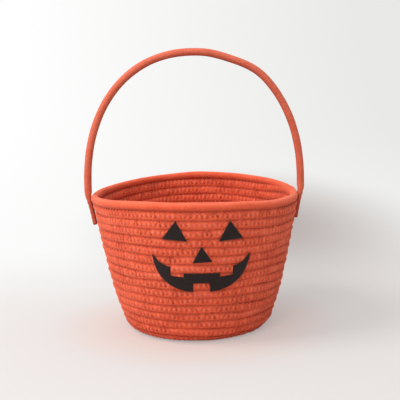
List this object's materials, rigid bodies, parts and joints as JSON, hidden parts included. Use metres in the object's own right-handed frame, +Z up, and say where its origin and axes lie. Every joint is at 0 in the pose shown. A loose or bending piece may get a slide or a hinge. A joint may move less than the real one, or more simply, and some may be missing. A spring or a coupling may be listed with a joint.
{
  "type": "rope basket",
  "caption": "Round tapered basket coiled from orange cotton rope, with a swinging rope handle and black felt pumpkin-face patches on the front.",
  "frame": {"origin": "on the table, under the middle of the basket's flat base", "axes": "+Z up, the face looks towards -Y, the handle's feet are at -X and +X"},
  "size_m": [0.2258, 0.2107, 0.2829],
  "materials": {
    "coiled_cotton_rope": "matte dyed cotton rope with needle puckers",
    "knitted_cotton_rope": "smooth finely knitted cotton",
    "sewing_thread": "spun polyester thread",
    "black_felt": "matte black felt"
  },
  "bodies": {
    "basket": {"basket_coil": "coiled_cotton_rope", "handle_foot_left": "knitted_cotton_rope", "handle_foot_right": "knitted_cotton_rope", "foot_stitching_left": "sewing_thread", "foot_stitching_right": "sewing_thread", "eye_patch_left": "black_felt", "eye_patch_right": "black_felt", "nose_patch": "black_felt", "mouth_patch": "black_felt"},
    "handle": {"handle_arch": "knitted_cotton_rope"}
  },
  "joints": [
    {"name": "handle_swing", "type": "hinge", "parent": "basket", "child": "handle", "pos_m": [0, 0, 0.1451], "axis": [1, 0, 0], "range_deg": [-110, 110], "stiffness_Nm_per_rad": 0.03}
  ]
}
